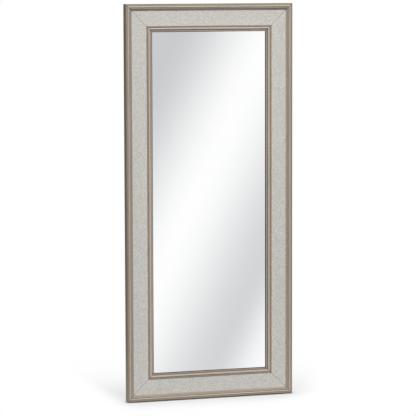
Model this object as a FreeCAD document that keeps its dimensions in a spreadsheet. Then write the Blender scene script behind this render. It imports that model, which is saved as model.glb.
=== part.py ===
# A full-length mirror: plain glass in a mitred frame of reeded mouldings and flat textured panels.
# Millimetres, +Z up. The front faces -Y, X runs to the right as seen from the front, and the origin lies
# on the floor under the middle of the frame.
import FreeCAD, Part
import os
import re
import Sketcher

# Driving sizes. A height is taken forward from the back face of the core rails.
SIZES = {
    # Whole frame
    "frame_width": 800,
    "frame_height": 1827,
    "mitre_gap": 0.4,
    "seat_clearance": 0.3,
    # Core rails
    "core_depth": 18,
    # Outer moulding: a side leg, a rounded shoulder and a large, a small and a low reed, grooves between
    "outer_moulding_width": 30,
    "outer_leg_width": 9,
    "side_lift": 6,
    "back_recess": 7,
    "crest_lift": 10.5,
    "shoulder_rise": 0.8,
    "large_bead_width": 7,
    "large_bead_rise": 3,
    "outer_groove_width": 0.8,
    "small_bead_width": 4.6,
    "small_bead_lift": 6.5,
    "small_bead_rise": 1.7,
    "low_bead_width": 7.2,
    "low_bead_lift": 5.5,
    "low_bead_rise": 0.7,
    "edge_step": 1,
    # Panel strips
    "panel_width": 70,
    "panel_thickness": 5,
    # Inner moulding: an outer strip, a main bead and a lip bead over the glass, with grooves between
    "inner_moulding_width": 28,
    "inner_groove_width": 0.8,
    "leg_shoulder": 0.7,
    "strip_rise": 0.8,
    "main_bead_width": 10.4,
    "main_bead_drop": 1,
    "main_bead_rise": 3.5,
    "lip_bead_width": 9.8,
    "lip_bead_drop": 5,
    "lip_bead_rise": 2,
    # Glass and what holds it
    "glass_thickness": 5,
    "glass_overlap": 11,
    "glass_edge_gap": 3,
    "bevel_width": 2,
    "bevel_drop": 1,
    "backing_thickness": 9,
    "block_length": 80,
    "block_end_inset": 100,
    # Mitre biscuits
    "biscuit_size": 36,
    "biscuit_thickness": 4,
    # Screws
    "screw_end_cover": 4,
    "screw_radius": 2,
    "screw_tip_length": 4,
    "screw_head_radius": 3.8,
    "screw_head_height": 2.2,
    "screw_head_rim": 0.8,
    "screw_recess_length": 4,
    "screw_recess_width": 1,
    "screw_recess_depth": 1.2,
    "screw_fit": 0.1,
    # Corner brackets
    "bracket_arm": 80,
    "bracket_width": 20,
    "bracket_thickness": 2,
    "bracket_hole_inset": 10,
    "bracket_hole_pitch": 28,
    # Turn buttons
    "button_reach": 26,
    "button_tail": 7,
    "button_width": 12,
    "button_thickness": 1.6,
    "button_end_rise": 4,
    "button_inset": 9,
    "button_end_inset": 235,
    "pivot_fit": 0.08,
    # Hanger plates and their rings
    "hanger_drop": 420,
    "strap_length": 54,
    "strap_width": 16,
    "strap_thickness": 1.5,
    "strap_end_rise": 5,
    "strap_upper_hole": 28,
    "strap_lower_hole": 44,
    "ring_wire_radius": 1.6,
    "ring_half_width": 13.6,
    "ring_corner_radius": 4,
    "ring_leg": 6,
    # Wall bumpers and floor pads
    "bumper_radius": 4,
    "bumper_taper": 0.8,
    "bumper_thickness": 2.2,
    "bumper_end_inset": 90,
    "floor_pad_thickness": 3,
    "floor_pad_length": 355,
    "floor_pad_inset": 1,
    "floor_pad_end_inset": 40,
}

# Derived places. In a rail's section, a distance is taken inward from the frame's outer edge.
PANEL_FRONT = "(core_depth + panel_thickness)"
SIDE_TOP = f"({PANEL_FRONT} + side_lift)"
CREST = f"({PANEL_FRONT} + crest_lift)"
SIGHT_EDGE = "(outer_moulding_width + panel_width + inner_moulding_width)"
LIP_LEG = f"({SIGHT_EDGE} - lip_bead_width - inner_groove_width - leg_shoulder)"
GLASS_EDGE = f"({SIGHT_EDGE} - glass_overlap)"
RABBET_WALL = f"({GLASS_EDGE} - glass_edge_gap)"
CORE_MIDDLE = f"((outer_leg_width + {RABBET_WALL})/2)"
GLASS_BACK = "(2*seat_clearance + backing_thickness)"
GLASS_FRONT = f"({GLASS_BACK} + glass_thickness)"
LIP_BACK = f"({GLASS_FRONT} - bevel_drop*max(0; 1 - glass_overlap/bevel_width) + seat_clearance)"
GLASS_WIDTH = f"(frame_width - 2*{GLASS_EDGE})"
GLASS_HEIGHT = f"(frame_height - 2*{GLASS_EDGE})"
BLOCK_ALONG_WIDTH = f"({GLASS_WIDTH}/2 - block_end_inset - block_length/2)"
BLOCK_ALONG_HEIGHT = f"({GLASS_HEIGHT}/2 - block_end_inset - block_length/2)"
SCREW_LENGTH = "(core_depth - screw_end_cover)"
MITRE_SHIFT = "(mitre_gap/sqrt(2))"
QUARTER_SAG = "(1 - 1/sqrt(2))"
RING_AXIS_HEIGHT = "(strap_thickness + seat_clearance + ring_wire_radius)"
BUTTON_PIVOT = f"({RABBET_WALL} - button_inset)"
BUTTON_OFFSET = f"({GLASS_HEIGHT}/2 - button_end_inset)"

# The core's back face lies here in Y, which puts the origin midway between the frame's front and back.
CORE_BACK_Y = f"(({CREST} - back_recess - bumper_thickness)/2)"
FRAME_MIDDLE_Z = "(floor_pad_thickness + frame_height/2)"
FRAME_TOP_Z = "(floor_pad_thickness + frame_height)"

# Each side of the frame, a quarter turn about Y on from the side before it: X and Z of a point given
# along its rail and inward from its outer edge, and the rail's length. Each is drawn as the bottom one lies.
SIDES = {
    "bottom": ("{along}", "floor_pad_thickness + {inward}", "frame_width"),
    "left": ("{inward} - frame_width/2", FRAME_MIDDLE_Z + " - {along}", "frame_height"),
    "top": ("-{along}", FRAME_TOP_Z + " - {inward}", "frame_width"),
    "right": ("frame_width/2 - {inward}", FRAME_MIDDLE_Z + " + {along}", "frame_height"),
}
# Each corner of the frame, a quarter turn about Y on from the corner before it: the signs of its X and Z.
CORNERS = {
    "bottom_left": ("-", "-"),
    "top_left": ("-", "+"),
    "top_right": ("+", "+"),
    "bottom_right": ("+", "-"),
}
QUARTER_TURN = 90
RAIL_ENDS = ("-", "+")
BUTTONS = {
    "top": ("top", "0"),
    "bottom": ("bottom", "0"),
    "left_upper": ("left", f"-{BUTTON_OFFSET}"),
    "left_middle": ("left", "0"),
    "left_lower": ("left", BUTTON_OFFSET),
    "right_upper": ("right", BUTTON_OFFSET),
    "right_middle": ("right", "0"),
    "right_lower": ("right", f"-{BUTTON_OFFSET}"),
}
HANGER_SIDES = {"left": "-", "right": "+"}

doc = FreeCAD.newDocument("mirror")
sheet = doc.addObject("Spreadsheet::Sheet", "Sizes")
for row, (size_name, number) in enumerate(SIZES.items(), start=1):
    sheet.set(f"A{row}", size_name)
    sheet.set(f"B{row}", str(number))
    sheet.setAlias(f"B{row}", size_name)
doc.recompute()

nodes = []


def bound(text):
    """The expression with each size's name pointing at its cell in the sheet."""
    return re.sub(r"[a-z]\w*", lambda word: f"Sizes.{word[0]}" if word[0] in SIZES else word[0], text)


def value(text):
    """What an expression comes to now."""
    return float(sheet.evalExpression(bound(text)))


def bind(thing, **expressions):
    """Tie properties of an object to expressions."""
    for name, text in expressions.items():
        thing.setExpression(name, bound(text))


def turn_of(table, name):
    """Degrees about Y that bring what is drawn for a table's first side or corner to the named one."""
    return list(table).index(name) * QUARTER_TURN


def place(thing, x, y, z, turn=0):
    """Put an object at a place given by expressions, turned about Y by whole degrees."""
    thing.Placement = FreeCAD.Placement(FreeCAD.Vector(), FreeCAD.Rotation(FreeCAD.Vector(0, 1, 0), turn))
    for axis, text in zip("xyz", (x, y, z)):
        thing.setExpression(f"Placement.Base.{axis}", bound(text))


def behind(height):
    """Y of a point at a height above the core's back face."""
    return f"{CORE_BACK_Y} - ({height})"


def on_rail(side, along, inward, height):
    """X, Y and Z of a point given along a rail, inward from its outer edge and above the core's back."""
    x_form, z_form, _ = SIDES[side]
    spot = {"along": f"({along})", "inward": f"({inward})"}
    return x_form.format(**spot), behind(height), z_form.format(**spot)


def new_body(label):
    """A body that becomes a node of the part."""
    body = doc.addObject("PartDesign::Body", label)
    body.Label = label
    nodes.append(body)
    return body


def new_sketch(body, name, plane, height="0"):
    """A sketch on one of a body's own planes, or a height along the plane's normal from it."""
    sketch = body.newObject("Sketcher::SketchObject", f"{body.Name}_{name}")
    support = next(feature for feature in body.Origin.OriginFeatures if feature.Role == plane)
    sketch.AttachmentSupport = [(support, "")]
    sketch.MapMode = "FlatFace"
    sketch.setExpression("AttachmentOffset.Base.z", bound(height))
    return sketch


def constrain(sketch, kind, geometry, point, text):
    """A driving constraint tied to an expression."""
    target = (geometry,) if point is None else (geometry, point)
    index = sketch.addConstraint(Sketcher.Constraint(kind, *target, value(text)))
    name = f"size_{index}"
    sketch.renameConstraint(index, name)
    sketch.setExpression(f"Constraints.{name}", bound(text))


def add_outline(sketch, corners):
    """A closed outline. From a corner (x, y, rise) the edge to the next one bows to its left by rise."""
    first = sketch.GeometryCount
    spots = [FreeCAD.Vector(value(corner[0]), value(corner[1]), 0) for corner in corners]
    ends = []
    for index, corner in enumerate(corners):
        start = spots[index]
        end = spots[(index + 1) % len(spots)]
        if len(corner) == 2:
            sketch.addGeometry(Part.LineSegment(start, end))
            ends.append((1, 2))
        else:
            rise = value(corner[2])
            chord = end - start
            apex = (start + end) / 2 + FreeCAD.Vector(-chord.y, chord.x, 0).normalize() * rise
            sketch.addGeometry(Part.Arc(start, apex, end))
            ends.append((2, 1) if rise > 0 else (1, 2))
    for index, corner in enumerate(corners):
        here = first + index
        before = first + (index - 1) % len(corners)
        sketch.addConstraint(
            Sketcher.Constraint("Coincident", before, ends[index - 1][1], here, ends[index][0]))
        constrain(sketch, "DistanceX", here, ends[index][0], corner[0])
        constrain(sketch, "DistanceY", here, ends[index][0], corner[1])
    for index, corner in enumerate(corners):
        if len(corner) == 3:
            after = corners[(index + 1) % len(corners)]
            chord_squared = f"(({after[0]}) - ({corner[0]}))^2 + (({after[1]}) - ({corner[1]}))^2"
            rise = f"abs({corner[2]})"
            constrain(sketch, "Radius", first + index, None, f"({chord_squared})/(8*{rise}) + {rise}/2")


def add_circle(sketch, x, y, radius):
    """A circle whose centre and radius follow expressions."""
    middle = FreeCAD.Vector(value(x), value(y), 0)
    circle = sketch.addGeometry(Part.Circle(middle, FreeCAD.Vector(0, 0, 1), value(radius)))
    constrain(sketch, "DistanceX", circle, 3, x)
    constrain(sketch, "DistanceY", circle, 3, y)
    constrain(sketch, "Radius", circle, None, radius)


def rectangle(left, low, right, high):
    """Corners of an upright rectangle, for add_outline."""
    return [(left, low), (right, low), (right, high), (left, high)]


def pad(body, sketch, length, both_ways=False, reverse=False):
    """Raise a sketch into the body."""
    feature = body.newObject("PartDesign::Pad", f"{sketch.Name}_pad")
    feature.Profile = sketch
    feature.SideType = "Symmetric" if both_ways else "One side"
    feature.Reversed = reverse
    bind(feature, Length=length)
    doc.recompute()


def cut(body, sketch, length=None, reverse=False):
    """Cut a sketch out of the body to a depth, or right through both ways where no length is given."""
    before = body.Shape.Volume
    feature = body.newObject("PartDesign::Pocket", f"{sketch.Name}_cut")
    feature.Profile = sketch
    feature.Reversed = reverse
    if length is None:
        feature.SideType = "Symmetric"
        feature.Type = "ThroughAll"
    else:
        bind(feature, Length=length)
    doc.recompute()
    if feature.Shape.Volume >= before:
        raise RuntimeError(f"{feature.Name} cuts nothing")


def group(label, members):
    """Identical separate solids gathered in one node."""
    gathered = doc.addObject("Part::Compound", label)
    gathered.Label = label
    gathered.Links = members
    nodes.append(gathered)


def copies(label, source, places):
    """Copies of one piece at the given places, gathered in one node."""
    members = []
    for number, (x, y, z) in enumerate(places):
        link = doc.addObject("App::Link", f"{label}_{number}")
        link.LinkedObject = source
        place(link, x, y, z)
        members.append(link)
    group(label, members)


def section(points):
    """Corners of a rail's section, given inward and upward, on the plane across the rail."""
    return [(f"-({height})", inward, *rise) for inward, height, *rise in points]


def mitred_rail(name, side, points):
    """A length of moulding with the given section, mitred at both ends and put on its side of the frame."""
    length = SIDES[side][-1]
    body = new_body(f"{name}_{side}")
    across = new_sketch(body, "section", "YZ_Plane")
    add_outline(across, section(points))
    pad(body, across, length, both_ways=True)
    ends = new_sketch(body, "mitres", "XZ_Plane")
    beyond = "mitre_gap"
    for sign in RAIL_ENDS:
        corner = f"({length}/2 - {MITRE_SHIFT})"
        inner = f"({SIGHT_EDGE} + {beyond})"
        add_outline(ends, [
            (f"{sign}({corner} + {beyond})", f"-{beyond}"),
            (f"{sign}({length}/2 + {beyond})", f"-{beyond}"),
            (f"{sign}({length}/2 + {beyond})", inner),
            (f"{sign}({corner} - {inner})", inner),
        ])
    cut(body, ends)
    place(body, *on_rail(side, "0", "0", "0"), turn_of(SIDES, side))
    return body


def outer_moulding(side):
    """The reeded outer moulding, whose leg covers the core's edge and stands behind it."""
    bead_base = f"({CREST} - large_bead_rise)"
    low_start = "(outer_moulding_width - low_bead_width)"
    small_end = f"({low_start} - outer_groove_width)"
    small_start = f"({small_end} - small_bead_width)"
    large_end = f"({small_start} - outer_groove_width)"
    large_start = f"({large_end} - large_bead_width)"
    small_base = f"({PANEL_FRONT} + small_bead_lift)"
    mitred_rail("outer_moulding", side, [
        ("0", "-back_recess"),
        ("0", SIDE_TOP, "shoulder_rise"),
        (large_start, bead_base, "large_bead_rise"),
        (large_end, bead_base),
        (small_start, small_base, "small_bead_rise"),
        (small_end, small_base),
        (low_start, f"{PANEL_FRONT} + low_bead_lift", "low_bead_rise"),
        ("outer_moulding_width", f"{PANEL_FRONT} + edge_step"),
        ("outer_moulding_width", "core_depth"),
        ("outer_leg_width", "core_depth"),
        ("outer_leg_width", "-back_recess"),
    ])


def panel_strip(side):
    """The flat textured strip between the two mouldings."""
    inner = "(outer_moulding_width + panel_width)"
    mitred_rail("panel", side, [
        ("outer_moulding_width", "core_depth"),
        ("outer_moulding_width", PANEL_FRONT),
        (inner, PANEL_FRONT),
        (inner, "core_depth"),
    ])


def inner_moulding(side):
    """The reeded inner moulding, whose leg comes down over the core's edge to the glass."""
    strip_base = f"({PANEL_FRONT} + edge_step)"
    main_base = f"({PANEL_FRONT} - main_bead_drop)"
    lip_base = f"({PANEL_FRONT} - lip_bead_drop)"
    lip_start = f"({SIGHT_EDGE} - lip_bead_width)"
    main_end = f"({lip_start} - inner_groove_width)"
    main_start = f"({main_end} - main_bead_width)"
    strip_end = f"({main_start} - inner_groove_width)"
    strip_start = "(outer_moulding_width + panel_width)"
    mitred_rail("inner_moulding", side, [
        (strip_start, "core_depth"),
        (strip_start, strip_base, "strip_rise"),
        (strip_end, strip_base),
        (main_start, main_base, "main_bead_rise"),
        (main_end, main_base),
        (lip_start, lip_base, "lip_bead_rise"),
        (SIGHT_EDGE, lip_base),
        (SIGHT_EDGE, LIP_BACK),
        (LIP_LEG, LIP_BACK),
        (LIP_LEG, "core_depth"),
    ])


def core_rail(side):
    """The wooden rail behind the mouldings, with a rabbet for the glass, biscuit slots and screw holes."""
    length = SIDES[side][-1]
    body = mitred_rail("core", side, [
        ("outer_leg_width", "0"),
        ("outer_leg_width", "core_depth"),
        (LIP_LEG, "core_depth"),
        (LIP_LEG, LIP_BACK),
        (RABBET_WALL, LIP_BACK),
        (RABBET_WALL, "0"),
    ])
    slot_half = "(biscuit_size/2 + seat_clearance)"
    slot_top = "(core_depth + biscuit_thickness)/2 + screw_fit"
    slots = new_sketch(body, "biscuit_slots", "XZ_Plane", slot_top)
    for sign in RAIL_ENDS:
        middle = f"({sign}({length}/2 - {CORE_MIDDLE}))"
        add_outline(slots, rectangle(
            f"{middle} - {slot_half}", f"{CORE_MIDDLE} - {slot_half}",
            f"{middle} + {slot_half}", f"{CORE_MIDDLE} + {slot_half}"))
    cut(body, slots, "biscuit_thickness + 2*screw_fit")
    holes = new_sketch(body, "screw_holes", "XZ_Plane")
    for along, inward in screw_spots(side):
        add_circle(holes, along, inward, "screw_radius + screw_fit")
    cut(body, holes, SCREW_LENGTH, reverse=True)


def bracket_hole_places():
    """Distances of a bracket's screw holes from its corner, along each arm."""
    outermost = "(bracket_arm - bracket_hole_inset)"
    return outermost, f"({outermost} - bracket_hole_pitch)"


def hanger_along(side):
    """Place of a hanger's ring axis along its stile, which counts down on the left and up on the right."""
    return f"({HANGER_SIDES[side]}(frame_height/2 - hanger_drop))"


def screw_spots(side):
    """Places of a rail's screw holes, along the rail and inward from its outer edge."""
    length = SIDES[side][-1]
    spots = []
    for sign in RAIL_ENDS:
        for distance in bracket_hole_places():
            from_end = f"({CORE_MIDDLE} - bracket_width/2 + {distance})"
            spots.append((f"{sign}({length}/2 - {from_end})", CORE_MIDDLE))
    for button_side, along in BUTTONS.values():
        if button_side == side:
            spots.append((along, BUTTON_PIVOT))
    if side in HANGER_SIDES:
        down = "-" if HANGER_SIDES[side] == "+" else "+"
        for drop in ("strap_upper_hole", "strap_lower_hole"):
            spots.append((f"{hanger_along(side)} {down} {drop}", CORE_MIDDLE))
    return spots


def mirror_pane():
    """The silvered glass: a flat plate whose front edges are ground to a narrow bevel under the lip."""
    edge = "(glass_thickness - bevel_drop)"
    low = f"floor_pad_thickness + {GLASS_EDGE}"
    plate = doc.addObject("Part::Box", "pane_plate")
    bind(plate, Length=GLASS_WIDTH, Width=edge, Height=GLASS_HEIGHT)
    place(plate, f"-{GLASS_WIDTH}/2", behind(f"{GLASS_BACK} + {edge}"), low)
    bevel = doc.addObject("Part::Wedge", "pane_bevel")
    bind(bevel, Ymin="0", Ymax="bevel_drop")
    bind(bevel, X2min="0", X2max=GLASS_WIDTH, Z2min="0", Z2max=GLASS_HEIGHT)
    bind(bevel, Xmin="bevel_width", Xmax=f"{GLASS_WIDTH} - bevel_width")
    bind(bevel, Zmin="bevel_width", Zmax=f"{GLASS_HEIGHT} - bevel_width")
    place(bevel, f"-{GLASS_WIDTH}/2", behind(GLASS_FRONT), low)
    pane = doc.addObject("Part::Fuse", "mirror_pane")
    pane.Base = plate
    pane.Tool = bevel
    pane.Refine = True
    nodes.append(pane)


def backing_board():
    """The board behind the glass, flush with it all round."""
    board = doc.addObject("Part::Box", "backing_board")
    bind(board, Length=GLASS_WIDTH, Width="backing_thickness", Height=GLASS_HEIGHT)
    low = f"floor_pad_thickness + {GLASS_EDGE}"
    place(board, f"-{GLASS_WIDTH}/2", behind("seat_clearance + backing_thickness"), low)
    nodes.append(board)


def edge_blocks(label, spots):
    """Blocks that fill the gap between the rabbet's wall and the edge of the glass."""
    members = []
    for number, (side, along) in enumerate(spots):
        block = doc.addObject("Part::Box", f"{label}_{number}")
        bind(block, Length="block_length", Width=f"{LIP_BACK} - 2*seat_clearance", Height="glass_edge_gap")
        start = f"{along} - block_length/2"
        spot = on_rail(side, start, RABBET_WALL, f"{LIP_BACK} - seat_clearance")
        place(block, *spot, turn_of(SIDES, side))
        members.append(block)
    group(label, members)


def mitre_biscuits():
    """A square biscuit of wood in the slots at each corner of the core."""
    members = []
    for corner, (x_sign, z_sign) in CORNERS.items():
        biscuit = doc.addObject("Part::Box", f"biscuit_{corner}")
        bind(biscuit, Length="biscuit_size", Width="biscuit_thickness", Height="biscuit_size")
        half = f"(frame_width/2 - {CORE_MIDDLE})"
        rise = f"(frame_height/2 - {CORE_MIDDLE})"
        x = f"{x_sign}{half} - biscuit_size/2"
        z = f"{FRAME_MIDDLE_Z} {z_sign} {rise} - biscuit_size/2"
        place(biscuit, x, behind("(core_depth + biscuit_thickness)/2"), z)
        members.append(biscuit)
    group("mitre_biscuits", members)


def wood_screw():
    """A pan-head screw with a cross recess: its origin is under the head, which faces +Y."""
    body = doc.addObject("PartDesign::Body", "wood_screw")
    half_section = new_sketch(body, "half_section", "XY_Plane")
    dome = "(screw_head_height - screw_head_rim)"
    dome_radius = f"((screw_head_radius^2 + {dome}^2)/(2*{dome}))"
    dome_sag = f"({dome_radius} - sqrt({dome_radius}^2 - (screw_head_radius^2 + {dome}^2)/4))"
    add_outline(half_section, [
        ("0", f"-{SCREW_LENGTH}"),
        ("screw_radius", f"screw_tip_length - {SCREW_LENGTH}"),
        ("screw_radius", "0"),
        ("screw_head_radius", "0"),
        ("screw_head_radius", "screw_head_rim", f"-{dome_sag}"),
        ("0", "screw_head_height"),
    ])
    turned = body.newObject("PartDesign::Revolution", "wood_screw_turned")
    turned.Profile = half_section
    turned.ReferenceAxis = (half_section, ["V_Axis"])
    doc.recompute()
    recess = new_sketch(body, "recess", "XZ_Plane", "screw_recess_depth - screw_head_height")
    arm = "screw_recess_length/2"
    web = "screw_recess_width/2"
    steps = [(arm, web), (web, web), (web, arm)]
    quarter_turns = [("{0}", "{1}"), ("-{1}", "{0}"), ("-{0}", "-{1}"), ("{1}", "-{0}")]
    add_outline(recess, [
        (x_form.format(*step), y_form.format(*step)) for x_form, y_form in quarter_turns for step in steps])
    cut(body, recess, "2*screw_recess_depth")
    return body


def corner_bracket(corner):
    """A flat steel angle over the back of one corner of the core."""
    x_sign, z_sign = CORNERS[corner]
    body = new_body(f"corner_bracket_{corner}")
    outline = new_sketch(body, "outline", "XZ_Plane")
    add_outline(outline, [
        ("0", "0"), ("bracket_arm", "0"), ("bracket_arm", "bracket_width"),
        ("bracket_width", "bracket_width"), ("bracket_width", "bracket_arm"), ("0", "bracket_arm"),
    ])
    for distance in bracket_hole_places():
        add_circle(outline, distance, "bracket_width/2", "screw_radius + screw_fit")
        add_circle(outline, "bracket_width/2", distance, "screw_radius + screw_fit")
    pad(body, outline, "bracket_thickness", reverse=True)
    inset = f"({CORE_MIDDLE} - bracket_width/2)"
    x = f"{x_sign}(frame_width/2 - {inset})"
    z = f"{FRAME_MIDDLE_Z} {z_sign} (frame_height/2 - {inset})"
    place(body, x, behind("0"), z, turn_of(CORNERS, corner))


def bracket_screw_places():
    """Places of the bracket screws' heads."""
    places = []
    for side, (_, _, length) in SIDES.items():
        for sign in RAIL_ENDS:
            for distance in bracket_hole_places():
                from_end = f"({CORE_MIDDLE} - bracket_width/2 + {distance})"
                along = f"{sign}({length}/2 - {from_end})"
                places.append(on_rail(side, along, CORE_MIDDLE, "-bracket_thickness"))
    return places


def turn_button(name):
    """A steel button that turns on its screw to hold or free the backing board."""
    side, along = BUTTONS[name]
    body = new_body(f"turn_button_{name}")
    outline = new_sketch(body, "outline", "XZ_Plane")
    half = "button_width/2"
    low = "(button_end_rise - button_tail)"
    high = "(button_reach - button_end_rise)"
    add_outline(outline, [
        (f"-{half}", low, "-button_end_rise"), (half, low),
        (half, high, "-button_end_rise"), (f"-{half}", high),
    ])
    add_circle(outline, "0", "0", "screw_radius + pivot_fit")
    pad(body, outline, "button_thickness", reverse=True)
    place(body, *on_rail(side, along, BUTTON_PIVOT, "-seat_clearance"), turn_of(SIDES, side))


def button_screw_places():
    """Places of the turn buttons' screw heads, clear of the buttons by the seat clearance."""
    height = "-(button_thickness + 2*seat_clearance)"
    return [on_rail(side, along, BUTTON_PIVOT, height) for side, along in BUTTONS.values()]


def hanger_place(side, drop, height):
    """X, Y and Z of a point of a hanger, below its ring's axis and above the core's back."""
    x = f"{HANGER_SIDES[side]}(frame_width/2 - {CORE_MIDDLE})"
    return x, behind(height), f"{FRAME_TOP_Z} - hanger_drop - ({drop})"


def hanger_plate(side):
    """A steel strap screwed to the stile, with an eye at its top for the ring."""
    body = new_body(f"hanger_plate_{side}")
    strap = new_sketch(body, "strap", "XZ_Plane")
    half = "strap_width/2"
    low = "(strap_end_rise - strap_length)"
    add_outline(strap, [(f"-{half}", low, "-strap_end_rise"), (half, low), (half, "0"), (f"-{half}", "0")])
    for drop in ("strap_upper_hole", "strap_lower_hole"):
        add_circle(strap, "0", f"-{drop}", "screw_radius + screw_fit")
    pad(body, strap, "strap_thickness", reverse=True)
    bore = "ring_wire_radius + pivot_fit"
    eye = new_sketch(body, "eye", "YZ_Plane")
    add_circle(eye, RING_AXIS_HEIGHT, "0", f"{bore} + strap_thickness")
    pad(body, eye, "strap_width", both_ways=True)
    hollow = new_sketch(body, "bore", "YZ_Plane")
    add_circle(hollow, RING_AXIS_HEIGHT, "0", bore)
    cut(body, hollow)
    place(body, *hanger_place(side, "0", "0"))


def hanger_ring(side):
    """A D-ring of round wire, hanging from its straight bar in the plate's eye."""
    body = new_body(f"hanger_ring_{side}")
    path = new_sketch(body, "path", "XZ_Plane")
    bar = "(ring_half_width - ring_corner_radius)"
    corner_sag = f"ring_corner_radius*{QUARTER_SAG}"
    bow_sag = f"ring_half_width*{QUARTER_SAG}"
    add_outline(path, [
        ("0", "0"),
        (bar, "0", corner_sag),
        ("ring_half_width", "-ring_corner_radius"),
        ("ring_half_width", "-ring_leg", bow_sag),
        ("0", "-(ring_leg + ring_half_width)", bow_sag),
        ("-ring_half_width", "-ring_leg"),
        ("-ring_half_width", "-ring_corner_radius", corner_sag),
        (f"-{bar}", "0"),
    ])
    wire = new_sketch(body, "wire", "YZ_Plane")
    add_circle(wire, "0", "0", "ring_wire_radius")
    pipe = body.newObject("PartDesign::AdditivePipe", f"{body.Name}_pipe")
    pipe.Profile = wire
    pipe.Spine = (path, [])
    place(body, *hanger_place(side, "0", f"-{RING_AXIS_HEIGHT}"))


def hanger_screw_places():
    """Places of the hanger screws' heads on the straps."""
    drops = ("strap_upper_hole", "strap_lower_hole")
    return [hanger_place(side, drop, "-strap_thickness") for side in HANGER_SIDES for drop in drops]


def wall_bumpers():
    """Rubber bumpers on the back edge of the stiles' outer mouldings."""
    members = []
    for side in HANGER_SIDES:
        for sign in RAIL_ENDS:
            bumper = doc.addObject("Part::Cone", f"bumper_{len(members)}")
            bind(bumper, Radius1="bumper_radius", Radius2="bumper_radius - bumper_taper")
            bind(bumper, Height="bumper_thickness")
            along = f"{sign}(frame_height/2 - bumper_end_inset)"
            place(bumper, *on_rail(side, along, "outer_leg_width/2", "-back_recess"))
            bumper.Placement.Rotation = FreeCAD.Rotation(FreeCAD.Vector(1, 0, 0), -90)
            members.append(bumper)
    group("wall_bumpers", members)


def floor_pads():
    """Rubber pads that the frame stands on."""
    members = []
    middle = "(frame_width/2 - floor_pad_end_inset - floor_pad_length/2)"
    for sign in RAIL_ENDS:
        foot = doc.addObject("Part::Box", f"floor_pad_{len(members)}")
        depth = f"({SIDE_TOP} + back_recess - 2*floor_pad_inset)"
        bind(foot, Length="floor_pad_length", Width=depth, Height="floor_pad_thickness")
        place(foot, f"{sign}{middle} - floor_pad_length/2", behind(f"{SIDE_TOP} - floor_pad_inset"), "0")
        members.append(foot)
    group("floor_pads", members)


for frame_side in SIDES:
    core_rail(frame_side)
    outer_moulding(frame_side)
    panel_strip(frame_side)
    inner_moulding(frame_side)
mitre_biscuits()
mirror_pane()
backing_board()
edge_blocks("setting_blocks", [("bottom", f"{sign}{BLOCK_ALONG_WIDTH}") for sign in RAIL_ENDS])
edge_blocks("edge_spacers", [
    *[(side, f"{sign}{BLOCK_ALONG_HEIGHT}") for side in ("left", "right") for sign in RAIL_ENDS],
    *[("top", f"{sign}{BLOCK_ALONG_WIDTH}") for sign in RAIL_ENDS],
])
screw = wood_screw()
for frame_corner in CORNERS:
    corner_bracket(frame_corner)
copies("corner_bracket_screws", screw, bracket_screw_places())
for button in BUTTONS:
    turn_button(button)
copies("turn_button_screws", screw, button_screw_places())
for hanger_side in HANGER_SIDES:
    hanger_plate(hanger_side)
    hanger_ring(hanger_side)
copies("hanger_screws", screw, hanger_screw_places())
wall_bumpers()
floor_pads()
doc.recompute()

for item in doc.Objects:
    if "Invalid" in item.State or "Error" in item.State:
        raise RuntimeError(f"{item.Label} failed: {item.State}")
for node in nodes:
    if node.Shape.isNull() or not node.Shape.isValid():
        raise RuntimeError(f"{node.Label} has no valid shape")
os.makedirs("parts", exist_ok=True)
for node in nodes:
    node.Shape.exportStep(f"parts/{node.Label}.step")
print(len(nodes), "sub-parts written")
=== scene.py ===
# The full-length mirror's finishes, with its studio floor, light and camera.
# Lengths are in metres and places in the frame's own axes, unless a line says otherwise.
from math import cos, pi, radians, sin

import bpy
from mathutils import Matrix, Vector


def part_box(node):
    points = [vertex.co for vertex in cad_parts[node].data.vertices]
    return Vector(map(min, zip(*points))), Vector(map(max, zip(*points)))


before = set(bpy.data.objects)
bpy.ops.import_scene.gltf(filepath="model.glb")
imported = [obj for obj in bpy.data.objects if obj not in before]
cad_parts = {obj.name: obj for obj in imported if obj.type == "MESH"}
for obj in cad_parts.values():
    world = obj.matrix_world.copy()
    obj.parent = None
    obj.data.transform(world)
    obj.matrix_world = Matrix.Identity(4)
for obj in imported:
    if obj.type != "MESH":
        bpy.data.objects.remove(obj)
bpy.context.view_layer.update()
MM = 0.001

# Camera: its focal length in pixels of a square image, its place and its turns
IMAGE_SIDE = 416
FOCAL_PIXELS = 2281.31
SENSOR_WIDTH = 36.0
CAMERA_PLACE = (-3.1026, -10.0229, 1.9658)
CAMERA_YAW = radians(17.168)
CAMERA_PITCH = radians(5.8615)
CAMERA_ROLL = radians(-0.1655)
CAMERA_REACH = 300.0

# The frame's outer edge, from the mouldings' own boxes
OUTER_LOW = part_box("outer_moulding_left")[0]
OUTER_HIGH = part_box("outer_moulding_right")[1]
HALF_WIDTH = (OUTER_HIGH.x - OUTER_LOW.x) / 2
HALF_HEIGHT = (OUTER_HIGH.z - OUTER_LOW.z) / 2
MIDDLE_Z = (OUTER_HIGH.z + OUTER_LOW.z) / 2
HALF_DEPTH = (OUTER_HIGH.y - OUTER_LOW.y) / 2

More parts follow.
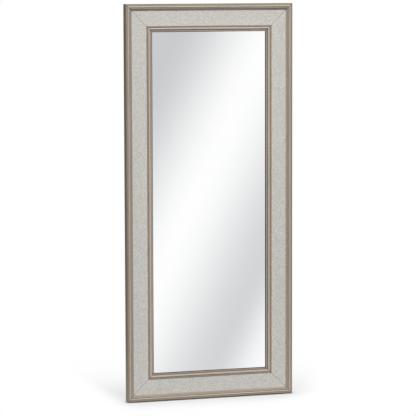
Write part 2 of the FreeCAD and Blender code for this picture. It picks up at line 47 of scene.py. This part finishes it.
# Tones of the mouldings' finish, partly painted light, and where each lies in millimetres inward from the
# frame's outer edge
TONES = {
    # The outer side face's tone is darker partly as painted shade
    "side": (126, 115, 102),
    # Paler crest tone: partly worn leaf, partly a painted highlight
    "rubbed_and_highlit": (198, 187, 177),
    "leaf": (174, 162, 149),
    "flank": (154, 142, 127),
    # Groove and edge tone: partly glazing in the hollows, partly painted shade
    "glazed_and_shaded": (131, 117, 101),
    # Dark paint on the lip at the glass; its band also stands in for the shade of the gap there, a painted
    # shade
    "painted": (66, 66, 64),
}
MOULDING_REACH = 128.0
# Bands across the moulding, the same on all four sides: crests paler by painted highlight, grooves and edges
# darker by painted shade, over the finish's own glazing and worn leaf
GLAZE_AND_PAINTED_LIGHT = [
    (0.0, "side"), (0.4, "glazed_and_shaded"), (2.0, "glazed_and_shaded"), (4.0, "flank"), (7.0, "flank"), (9.6, "leaf"),
    (12.8, "rubbed_and_highlit"), (14.6, "rubbed_and_highlit"), (16.2, "flank"), (17.2, "flank"), (18.6, "leaf"), (20.4, "leaf"),
    (22.2, "flank"), (24.5, "flank"), (28.4, "leaf"), (30.0, "glazed_and_shaded"),
    (100.0, "glazed_and_shaded"), (101.2, "flank"), (106.6, "flank"), (108.4, "leaf"), (110.5, "rubbed_and_highlit"),
    (114.8, "rubbed_and_highlit"), (116.2, "leaf"), (117.4, "flank"), (119.6, "leaf"), (124.0, "leaf"),
    (125.2, "glazed_and_shaded"), (126.2, "painted"), (128.0, "painted"),
]


def linear(colour):
    """A colour given in 0 to 255 as a screen shows it, as the shaders take it."""
    parts = [part / 255 for part in colour]
    return (*[part / 12.92 if part <= 0.04045 else ((part + 0.055) / 1.055) ** 2.4 for part in parts], 1.0)


# Places of a mix node's two inputs and of its result, by the kind of data that it mixes
MIX_SOCKETS = {"FLOAT": (2, 3, 0), "VECTOR": (4, 5, 1), "RGBA": (6, 7, 2)}


class Nodes:
    """Short calls for building one node tree."""

    def __init__(self, tree):
        self.tree = tree

    def add(self, kind, inputs=(), **settings):
        """A node with its settings, and its inputs set to values or linked to sockets."""
        made = self.tree.nodes.new(kind)
        for name, setting in settings.items():
            setattr(made, name, setting)
        for name, source in dict(inputs).items():
            self.put(made.inputs[name], source)
        return made

    def put(self, socket, source):
        """Link a socket to another, or give it a value."""
        if isinstance(source, bpy.types.NodeSocket):
            self.tree.links.new(source, socket)
        else:
            socket.default_value = source

    def place(self):
        """Places in the frame's own axes."""
        return self.add("ShaderNodeTexCoord").outputs["Object"]

    def split(self, vector):
        """The three parts of a vector."""
        made = self.add("ShaderNodeSeparateXYZ", {"Vector": vector})
        return [made.outputs[name] for name in "XYZ"]

    def join(self, x, y, z):
        """A vector of three parts."""
        return self.add("ShaderNodeCombineXYZ", {"X": x, "Y": y, "Z": z}).outputs["Vector"]

    def math(self, operation, first, second=0.0, third=0.0):
        """A number worked out from others."""
        return self.add("ShaderNodeMath", {0: first, 1: second, 2: third}, operation=operation).outputs[0]

    def spread(self, source, low, high, to_low=0.0, to_high=1.0, smooth=False):
        """A number's range mapped to another range, without going past its ends."""
        made = self.add("ShaderNodeMapRange", {
            "Value": source, "From Min": low, "From Max": high, "To Min": to_low, "To Max": to_high},
            interpolation_type="SMOOTHSTEP" if smooth else "LINEAR")
        return made.outputs["Result"]

    def noise(self, vector, scale, detail=2.0, roughness=0.5, distortion=0.0):
        """Soft noise, from 0 to 1 around a half, at one scale or at one for each axis."""
        if isinstance(scale, tuple):
            stretched = self.add("ShaderNodeVectorMath", {0: vector, 1: scale}, operation="MULTIPLY")
            vector, scale = stretched.outputs["Vector"], 1.0
        made = self.add("ShaderNodeTexNoise", {
            "Vector": vector, "Scale": scale, "Detail": detail, "Roughness": roughness,
            "Distortion": distortion})
        return made.outputs["Fac"]

    def ramp(self, source, stops, between="LINEAR"):
        """A colour picked along a row of stops, each a place from 0 to 1 and a linear colour."""
        made = self.add("ShaderNodeValToRGB", {"Fac": source})
        elements = made.color_ramp.elements
        made.color_ramp.interpolation = between
        while len(elements) < len(stops):
            elements.new(1.0)
        for element, (place, colour) in zip(elements, stops):
            element.position = place
            element.color = colour
        return made.outputs["Color"]

    def mix(self, kind, amount, first, second, blend="MIX"):
        """Two numbers, vectors or colours mixed, by the second one's amount."""
        one, other, result = MIX_SOCKETS[kind]
        made = self.add("ShaderNodeMix", {"Factor": amount, one: first, other: second},
                        data_type=kind, blend_type=blend)
        return made.outputs[result]

    def tint(self, colour, amount, over, blend="MULTIPLY"):
        """A colour with another laid over it by an amount."""
        return self.mix("RGBA", amount, colour, over, blend)

    def bump(self, height, strength, distance):
        """A surface normal that follows a height."""
        made = self.add("ShaderNodeBump", {"Height": height, "Strength": strength, "Distance": distance})
        return made.outputs["Normal"]


def empty_tree(holder):
    """The emptied node tree of a material or a world, ready for calls."""
    holder.use_nodes = True
    holder.node_tree.nodes.clear()
    return Nodes(holder.node_tree)


def new_material(name):
    """A new material, without a shader yet, and its node calls."""
    material = bpy.data.materials.new(name)
    return material, empty_tree(material)


def finish_surface(nodes, **sockets):
    """The object's surface shader, its sockets given by name with _ for each space."""
    shader = nodes.add("ShaderNodeBsdfPrincipled", {
        name.replace("_", " "): source for name, source in sockets.items()})
    nodes.add("ShaderNodeOutputMaterial", {"Surface": shader.outputs["BSDF"]})


def mix_surface(nodes, share, first, second):
    """Two shaders mixed into the surface, by the second one's share."""
    mixed = nodes.add("ShaderNodeMixShader", {0: share, 1: first.outputs[0], 2: second.outputs[0]})
    nodes.add("ShaderNodeOutputMaterial", {"Surface": mixed.outputs[0]})


def ray_kinds(nodes):
    """Whether a ray comes straight from the camera, and whether it is a reflection."""
    path = nodes.add("ShaderNodeLightPath")
    straight = nodes.math("MAXIMUM", path.outputs["Is Camera Ray"], path.outputs["Is Transmission Ray"])
    return straight, path.outputs["Is Glossy Ray"]


def rail_coordinates(nodes):
    """Distance inward from the outer edge, distance from a mitre, and places with the grain first."""
    x, y, z = nodes.split(nodes.place())
    from_side = nodes.math("SUBTRACT", HALF_WIDTH, nodes.math("ABSOLUTE", x))
    rise = nodes.math("ABSOLUTE", nodes.math("SUBTRACT", z, MIDDLE_Z))
    from_end = nodes.math("SUBTRACT", HALF_HEIGHT, rise)
    inward = nodes.math("MINIMUM", from_side, from_end)
    mitre = nodes.math("ABSOLUTE", nodes.math("SUBTRACT", from_side, from_end))
    on_stile = nodes.math("LESS_THAN", from_side, from_end)
    grain = nodes.mix("VECTOR", on_stile, nodes.join(x, z, y), nodes.join(z, x, y))
    return inward, mitre, grain


def champagne_finish():
    """Champagne leaf: grooves darker by glazing and painted shade, crests paler by worn leaf and painted
    highlight, and fine streaks along the length.
    """
    material, nodes = new_material("champagne_finish")
    inward, mitre, grain = rail_coordinates(nodes)
    across = nodes.math("DIVIDE", inward, MOULDING_REACH * MM)
    # Bands of tone across the moulding: painted shade in the grooves and painted highlight on the crests,
    # over the leaf's own glazing and wear
    glaze_and_painted_light = nodes.ramp(across, [(place / MOULDING_REACH, linear(TONES[tone])) for place, tone in GLAZE_AND_PAINTED_LIGHT])
    streaks = nodes.noise(grain, (14.0, 900.0, 900.0), detail=4.0, roughness=0.6)
    patches = nodes.noise(grain, (5.0, 60.0, 60.0), detail=3.0)
    fine = nodes.noise(grain, (160.0, 1400.0, 1400.0), detail=2.0)
    shade = nodes.math("MULTIPLY_ADD", nodes.math("SUBTRACT", streaks, 0.5), 0.34, 1.0)
    shade = nodes.math("MULTIPLY_ADD", nodes.math("SUBTRACT", patches, 0.5), 0.30, shade)
    leaf = nodes.tint(glaze_and_painted_light, 1.0, shade)
    warm = nodes.spread(patches, 0.45, 0.7, 0.0, 0.3)
    leaf = nodes.tint(leaf, warm, linear((255, 243, 233)))
    line = nodes.spread(mitre, 0.4 * MM, 2.4 * MM, 0.5, 0.0, smooth=True)
    leaf = nodes.tint(leaf, line, linear((120, 108, 94)))
    dull = nodes.spread(streaks, 0.3, 0.7, 0.36, 0.52)
    normal = nodes.bump(nodes.math("MULTIPLY_ADD", fine, 0.4, streaks), 0.16, 0.4 * MM)
    finish_surface(nodes, Base_Color=leaf, Metallic=0.3, Specular_IOR_Level=0.25, Roughness=dull,
                   Normal=normal)
    return material


def panel_finish():
    """Silver-grey panels: short fibres along the grain, pale flecks and a thin dark line at each mitre."""
    material, nodes = new_material("panel_finish")
    _, mitre, grain = rail_coordinates(nodes)
    mottle = nodes.noise(grain, (110.0, 330.0, 330.0), detail=3.0, roughness=0.6, distortion=0.4)
    fibres = nodes.noise(grain, (260.0, 1100.0, 1100.0), detail=3.0, roughness=0.65, distortion=0.6)
    clouds = nodes.noise(grain, (6.0, 14.0, 14.0), detail=2.0)
    pulp = nodes.math("MULTIPLY_ADD", mottle, 0.66, nodes.math("MULTIPLY", fibres, 0.34))
    colour = nodes.ramp(pulp, [
        (0.30, linear((170, 167, 160))),
        (0.44, linear((193, 190, 184))),
        (0.54, linear((206, 204, 198))),
        (0.68, linear((226, 225, 220)))])
    warm = nodes.spread(clouds, 0.42, 0.68, 0.0, 0.2)
    colour = nodes.tint(colour, warm, linear((255, 250, 241)))
    line = nodes.spread(mitre, 0.4 * MM, 2.6 * MM, 0.42, 0.0, smooth=True)
    colour = nodes.tint(colour, line, linear((120, 112, 102)))
    dull = nodes.spread(pulp, 0.3, 0.7, 0.62, 0.46)
    normal = nodes.bump(pulp, 0.35, 0.5 * MM)
    finish_surface(nodes, Base_Color=colour, Metallic=0.08, Roughness=dull, Normal=normal)
    return material


def mirror_finish():
    """Silvered glass, with the faintest haze of handling."""
    material, nodes = new_material("mirror_finish")
    haze = nodes.noise(nodes.place(), (7.0, 7.0, 3.0), detail=4.0, roughness=0.6)
    dull = nodes.spread(haze, 0.45, 0.75, 0.0, 0.012)
    silver = nodes.ramp(haze, [(0.35, linear((254, 254, 254))), (0.7, linear((252, 253, 253)))])
    finish_surface(nodes, Base_Color=silver, Metallic=1.0, Roughness=dull)
    return material


def core_finish():
    """Planed softwood with its grain along each rail."""
    material, nodes = new_material("core_finish")
    _, _, grain = rail_coordinates(nodes)
    rings = nodes.noise(grain, (2.2, 85.0, 30.0), detail=3.0, roughness=0.55, distortion=0.5)
    bands = nodes.math("FRACT", nodes.math("MULTIPLY", rings, 9.0))
    late = nodes.spread(nodes.math("ABSOLUTE", nodes.math("SUBTRACT", bands, 0.5)), 0.0, 0.5)
    pores = nodes.noise(grain, (40.0, 1500.0, 1500.0), detail=2.0)
    wood = nodes.ramp(late, [
        (0.0, linear((176, 134, 92))), (0.35, linear((204, 167, 124))), (1.0, linear((217, 184, 143)))])
    wood = nodes.tint(wood, nodes.spread(pores, 0.5, 0.75, 0.0, 0.4), linear((168, 132, 98)))
    dull = nodes.spread(late, 0.0, 1.0, 0.5, 0.68)
    normal = nodes.bump(nodes.math("MULTIPLY_ADD", pores, 0.5, late), 0.2, 0.3 * MM)
    finish_surface(nodes, Base_Color=wood, Roughness=dull, Normal=normal)
    return material


def biscuit_finish():
    """Pressed beech, with short dark rays."""
    material, nodes = new_material("biscuit_finish")
    rays = nodes.noise(nodes.place(), (900.0, 300.0, 120.0), detail=3.0)
    wood = nodes.ramp(rays, [(0.35, linear((168, 124, 86))), (0.6, linear((208, 168, 124)))])
    dull = nodes.spread(rays, 0.3, 0.7, 0.6, 0.75)
    normal = nodes.bump(rays, 0.2, 0.3 * MM)
    finish_surface(nodes, Base_Color=wood, Roughness=dull, Normal=normal)
    return material


def hardboard_finish():
    """Brown hardboard: matted fibres, darker specks and a faint press sheen."""
    material, nodes = new_material("hardboard_finish")
    place = nodes.place()
    fibres = nodes.noise(place, (700.0, 700.0, 500.0), detail=5.0, roughness=0.7, distortion=1.2)
    clouds = nodes.noise(place, scale=9.0, detail=4.0, roughness=0.6)
    specks = nodes.noise(place, scale=1300.0, detail=1.0)
    board = nodes.ramp(nodes.math("MULTIPLY_ADD", clouds, 0.2, nodes.math("MULTIPLY", fibres, 0.8)), [
        (0.34, linear((96, 68, 45))), (0.5, linear((123, 90, 62))), (0.66, linear((146, 111, 80)))])
    board = nodes.tint(board, nodes.spread(specks, 0.62, 0.74, 0.0, 0.6), linear((110, 84, 62)))
    dull = nodes.spread(fibres, 0.3, 0.7, 0.48, 0.66)
    normal = nodes.bump(fibres, 0.18, 0.3 * MM)
    finish_surface(nodes, Base_Color=board, Roughness=dull, Normal=normal)
    return material


def zinc_finish():
    """Zinc-plated steel: faint spangle, brushing and dull stains."""
    material, nodes = new_material("zinc_finish")
    place = nodes.place()
    spangle = nodes.add("ShaderNodeTexVoronoi", {"Vector": place, "Scale": 420.0}).outputs["Color"]
    brushing = nodes.noise(place, (2600.0, 600.0, 240.0), detail=2.0)
    stains = nodes.noise(place, scale=70.0, detail=4.0, roughness=0.6)
    steel = nodes.ramp(stains, [
        (0.34, linear((150, 151, 148))), (0.5, linear((186, 188, 188))), (0.68, linear((205, 206, 205)))])
    steel = nodes.tint(steel, 0.16, spangle, "SOFT_LIGHT")
    dull = nodes.spread(stains, 0.3, 0.7, 0.44, 0.28)
    normal = nodes.bump(brushing, 0.12, 0.1 * MM)
    finish_surface(nodes, Base_Color=steel, Metallic=0.95, Roughness=dull, Normal=normal)
    return material


def rubber_finish():
    """Black rubber with a fine matt grain and a little dust."""
    material, nodes = new_material("rubber_finish")
    place = nodes.place()
    grain = nodes.noise(place, scale=1800.0, detail=2.0)
    dust = nodes.noise(place, scale=120.0, detail=3.0)
    rubber = nodes.ramp(dust, [(0.4, linear((34, 34, 35))), (0.7, linear((58, 57, 55)))])
    dull = nodes.spread(dust, 0.3, 0.7, 0.62, 0.85)
    normal = nodes.bump(grain, 0.25, 0.2 * MM)
    finish_surface(nodes, Base_Color=rubber, Roughness=dull, Normal=normal)
    return material


FINISHES = {
    "champagne_moulding": champagne_finish(),
    "textured_panel": panel_finish(),
    "mirror_glass": mirror_finish(),
    "core_wood": core_finish(),
    "biscuit_wood": biscuit_finish(),
    "hardboard": hardboard_finish(),
    "zinc_steel": zinc_finish(),
    "black_rubber": rubber_finish(),
}
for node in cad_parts.values():
    for index, old in enumerate(node.data.materials):
        node.data.materials[index] = FINISHES[old.name]

# Floor: its tone to the camera, two distances from the frame, and what it throws back at each, more near the
# frame as a painted pool of light
FLOOR_SIDE = 120.0
FLOOR_SEEN = 0.435
FLOOR_POOL = (0.3, 1.8)
FLOOR_BOUNCE = (0.26, 0.15)
FLOOR_IN_GLOSS = (1.0, 0.3)

# Share of white in the floor by distance from the frame's foot, which counts more in front and less behind;
# lowest near the foot, it is a painted shade over the lamp's real shadow
FLOOR_REACH = 1.2
FLOOR_FRONT_PACE = 3.4
FLOOR_BACK_PACE = 0.85
PAINTED_SHADE_WHITE_SHARE = [
    (0.0, 0.05), (0.012, 0.5), (0.04, 0.68), (0.11, 0.69), (0.2, 0.735), (0.28, 0.79), (0.37, 0.845),
    (0.46, 0.895), (0.55, 0.937), (0.65, 0.962), (0.8, 0.985), (1.2, 1.0)]

# Side edges of the painted shade on the floor: straight on the left, leaning outward to the back on the
# right
PAINTED_SHADE_LEAN = 0.4
PAINTED_SHADE_PAST_RIGHT = 0.02
PAINTED_SHADE_LEFT_PACE = 1.7
PAINTED_SHADE_EDGE = (-0.04, 0.15)

# The studio around: its fill from front to back, and its glow in gloss from away from the key to toward it
FILL_TURN = (0.2, 0.9)
FILL_LEVELS = (0.3, 1.8)
GLOW_TURN = (-0.8, 0.7)
GLOW_LEVELS = (0.2, 1.25)

# Key lamp: its direction from the frame's middle, its level there, its distance and its width
KEY_DIRECTION = Vector((-0.02, -0.67, 0.74)).normalized()
KEY_LEVEL = 1.04
KEY_DISTANCE = 17.0
KEY_SIZE = 7.5


def flat_sheet(name, corners):
    """A one-face sheet that belongs to the studio."""
    mesh = bpy.data.meshes.new(name)
    mesh.from_pydata(corners, [], [tuple(range(len(corners)))])
    sheet = bpy.data.objects.new(name, mesh)
    bpy.context.scene.collection.objects.link(sheet)
    return sheet


def studio_floor():
    """A pale floor with the lamp's shadow and a painted shade near the frame, and a painted pool of light in
    what it throws back, running out into white.
    """
    half = FLOOR_SIDE / 2
    floor = flat_sheet("floor", [(-half, -half, 0), (half, -half, 0), (half, half, 0), (-half, half, 0)])
    material, nodes = new_material("floor_white")
    x, y, _ = nodes.split(nodes.place())
    beside = nodes.math("MAXIMUM", nodes.math("SUBTRACT", nodes.math("ABSOLUTE", x), HALF_WIDTH), 0.0)
    before = nodes.math("MULTIPLY", nodes.math("SUBTRACT", -HALF_DEPTH, y), FLOOR_FRONT_PACE)
    behind = nodes.math("MULTIPLY", nodes.math("SUBTRACT", y, HALF_DEPTH), FLOOR_BACK_PACE)
    deep = nodes.math("MAXIMUM", nodes.math("MAXIMUM", before, behind), 0.0)
    deep_square = nodes.math("MULTIPLY", deep, deep)
    away = nodes.math("SQRT", nodes.math("MULTIPLY_ADD", beside, beside, deep_square))
    # White share lowered near the foot: a painted shade laid over the lamp's real shadow in the matt part
    white_past_painted_shade = nodes.ramp(nodes.math("DIVIDE", away, FLOOR_REACH), [
        (spot / FLOOR_REACH, (share, share, share, 1)) for spot, share in PAINTED_SHADE_WHITE_SHARE])
    lean = nodes.math("MINIMUM", nodes.math("MULTIPLY", y, PAINTED_SHADE_LEAN), y)
    past_right = nodes.math("SUBTRACT", nodes.math("SUBTRACT", x, lean), HALF_WIDTH + PAINTED_SHADE_PAST_RIGHT)
    past_left = nodes.math("MULTIPLY", nodes.math("ADD", x, HALF_WIDTH), -PAINTED_SHADE_LEFT_PACE)
    edge = nodes.spread(nodes.math("MAXIMUM", past_right, past_left), *PAINTED_SHADE_EDGE, smooth=True)
    white_past_painted_shade = nodes.spread(edge, 0.0, 1.0, white_past_painted_shade, 1.0)
    seen, glossy = ray_kinds(nodes)
    # Floor tone to diffuse rays, raised near the frame: a painted pool of light
    bounce = nodes.spread(away, *FLOOR_POOL, *FLOOR_BOUNCE, smooth=True)
    tone = nodes.spread(seen, 0.0, 1.0, bounce, FLOOR_SEEN)
    matt = nodes.add("ShaderNodeBsdfDiffuse", {"Color": tone})
    glow = nodes.add("ShaderNodeEmission", {"Color": (1, 1, 1, 1), "Strength": 1.0})
    # Glow to glossy rays, raised near the frame: a painted pool of light seen in reflections
    pool = nodes.spread(away, *FLOOR_POOL, *FLOOR_IN_GLOSS)
    sheen = nodes.math("MULTIPLY", glossy, pool)
    mix_surface(nodes, nodes.math("MULTIPLY_ADD", seen, white_past_painted_shade, sheen), matt, glow)
    floor.data.materials.append(material)


def studio_world():
    """White where the camera looks, a glow on the key's side in gloss, and a fill that grows to the back."""
    world = bpy.data.worlds.new("studio")
    bpy.context.scene.world = world
    nodes = empty_tree(world)
    direction = nodes.add("ShaderNodeTexCoord").outputs["Generated"]
    toward = nodes.add("ShaderNodeVectorMath", {0: direction, 1: KEY_DIRECTION}, operation="DOT_PRODUCT")
    glow = nodes.spread(toward.outputs["Value"], *GLOW_TURN, *GLOW_LEVELS, smooth=True)
    _, depth, _ = nodes.split(direction)
    fill = nodes.spread(depth, *FILL_TURN, *FILL_LEVELS, smooth=True)
    seen, glossy = ray_kinds(nodes)
    strength = nodes.mix("FLOAT", seen, nodes.mix("FLOAT", glossy, fill, glow), 1.0)
    background = nodes.add("ShaderNodeBackground", {"Color": (1, 1, 1, 1), "Strength": strength})
    nodes.add("ShaderNodeOutputWorld", {"Surface": background.outputs[0]})


# Card whose soft bands the glass shows: its place, its edges, and its colours along the slant as on a screen
CARD_IN_FRONT = 0.06
CARD_SIDES = (-0.30, 0.33)
CARD_ENDS = (0.09, 1.75)
CARD_FEATHER = 0.03
CARD_SLANT = radians(26.5)
CARD_BANDS = [
    (-0.50, (203, 204, 206)), (-0.07, (255, 255, 255)), (0.36, (213, 214, 216)), (0.58, (251, 251, 252))]


def inside_range(nodes, place, low, high):
    """How far inside a range a place lies."""
    off_middle = nodes.math("ABSOLUTE", nodes.math("SUBTRACT", place, (high + low) / 2))
    return nodes.math("SUBTRACT", (high - low) / 2, off_middle)


def reflection_card():
    """A softly banded card in front of the glass, which only reflections see."""
    view = Vector(CAMERA_PLACE)
    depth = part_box("mirror_pane")[0].y
    share = CARD_IN_FRONT / (depth - view.y)
    (left, right), (low, high) = CARD_SIDES, CARD_ENDS
    y = depth - CARD_IN_FRONT
    corners = [(left, y, low), (right, y, low), (right, y, high), (left, y, high)]
    card = flat_sheet("reflection_card", corners)
    card.visible_camera = card.visible_diffuse = card.visible_shadow = card.visible_transmission = False
    material, nodes = new_material("card_bands")
    x, _, z = nodes.split(nodes.place())
    glass_x = nodes.math("DIVIDE", nodes.math("ADD", x, view.x * share), 1 + share)
    glass_z = nodes.math("DIVIDE", nodes.math("ADD", z, view.z * share), 1 + share)
    slanted = nodes.math("MULTIPLY", nodes.math("SUBTRACT", glass_z, MIDDLE_Z), -sin(CARD_SLANT))
    slanted = nodes.math("MULTIPLY_ADD", glass_x, cos(CARD_SLANT), slanted)
    first, last = CARD_BANDS[0][0], CARD_BANDS[-1][0]
    stops = [((spot - first) / (last - first), linear(colour)) for spot, colour in CARD_BANDS]
    bands = nodes.ramp(nodes.spread(slanted, first, last), stops, "EASE")
    from_side, from_end = inside_range(nodes, x, left, right), inside_range(nodes, z, low, high)
    from_edge = nodes.math("MINIMUM", from_side, from_end)
    inside = nodes.spread(from_edge, 0.0, CARD_FEATHER, smooth=True)
    glow = nodes.add("ShaderNodeEmission", {"Color": bands, "Strength": 1.0})
    mix_surface(nodes, inside, nodes.add("ShaderNodeBsdfTransparent"), glow)
    card.data.materials.append(material)


def key_light():
    """A broad soft light from high in front. Its own highlight is left to the studio's glow."""
    lamp = bpy.data.lights.new("key", "AREA")
    lamp.shape = "DISK"
    lamp.size = KEY_SIZE
    # The power grows with the distance squared, so that the level at the object doesn't hang on the distance
    lamp.energy = KEY_LEVEL * (pi * KEY_DISTANCE) ** 2
    holder = bpy.data.objects.new("key", lamp)
    holder.location = KEY_DIRECTION * KEY_DISTANCE + Vector((0, 0, MIDDLE_Z))
    holder.rotation_euler = (-KEY_DIRECTION).to_track_quat("-Z", "Y").to_euler()
    holder.visible_glossy = False
    bpy.context.scene.collection.objects.link(holder)


def studio_camera():
    """The camera, turned by yaw, then down by pitch, then by roll about its own axis."""
    ahead = cos(CAMERA_PITCH)
    forward = Vector((sin(CAMERA_YAW) * ahead, cos(CAMERA_YAW) * ahead, -sin(CAMERA_PITCH)))
    level = Vector((cos(CAMERA_YAW), -sin(CAMERA_YAW), 0))
    rise = level.cross(forward)
    right = level * cos(CAMERA_ROLL) + rise * sin(CAMERA_ROLL)
    up = rise * cos(CAMERA_ROLL) - level * sin(CAMERA_ROLL)
    data = bpy.data.cameras.new("camera")
    data.sensor_width = SENSOR_WIDTH
    data.lens = FOCAL_PIXELS * SENSOR_WIDTH / IMAGE_SIDE
    data.clip_end = CAMERA_REACH
    camera = bpy.data.objects.new("camera", data)
    turn = Matrix((right, up, -forward)).transposed().to_4x4()
    camera.matrix_world = Matrix.Translation(CAMERA_PLACE) @ turn
    bpy.context.scene.collection.objects.link(camera)
    bpy.context.scene.camera = camera


studio_floor()
studio_world()
reflection_card()
key_light()
studio_camera()
bpy.context.scene.view_settings.view_transform = "Standard"
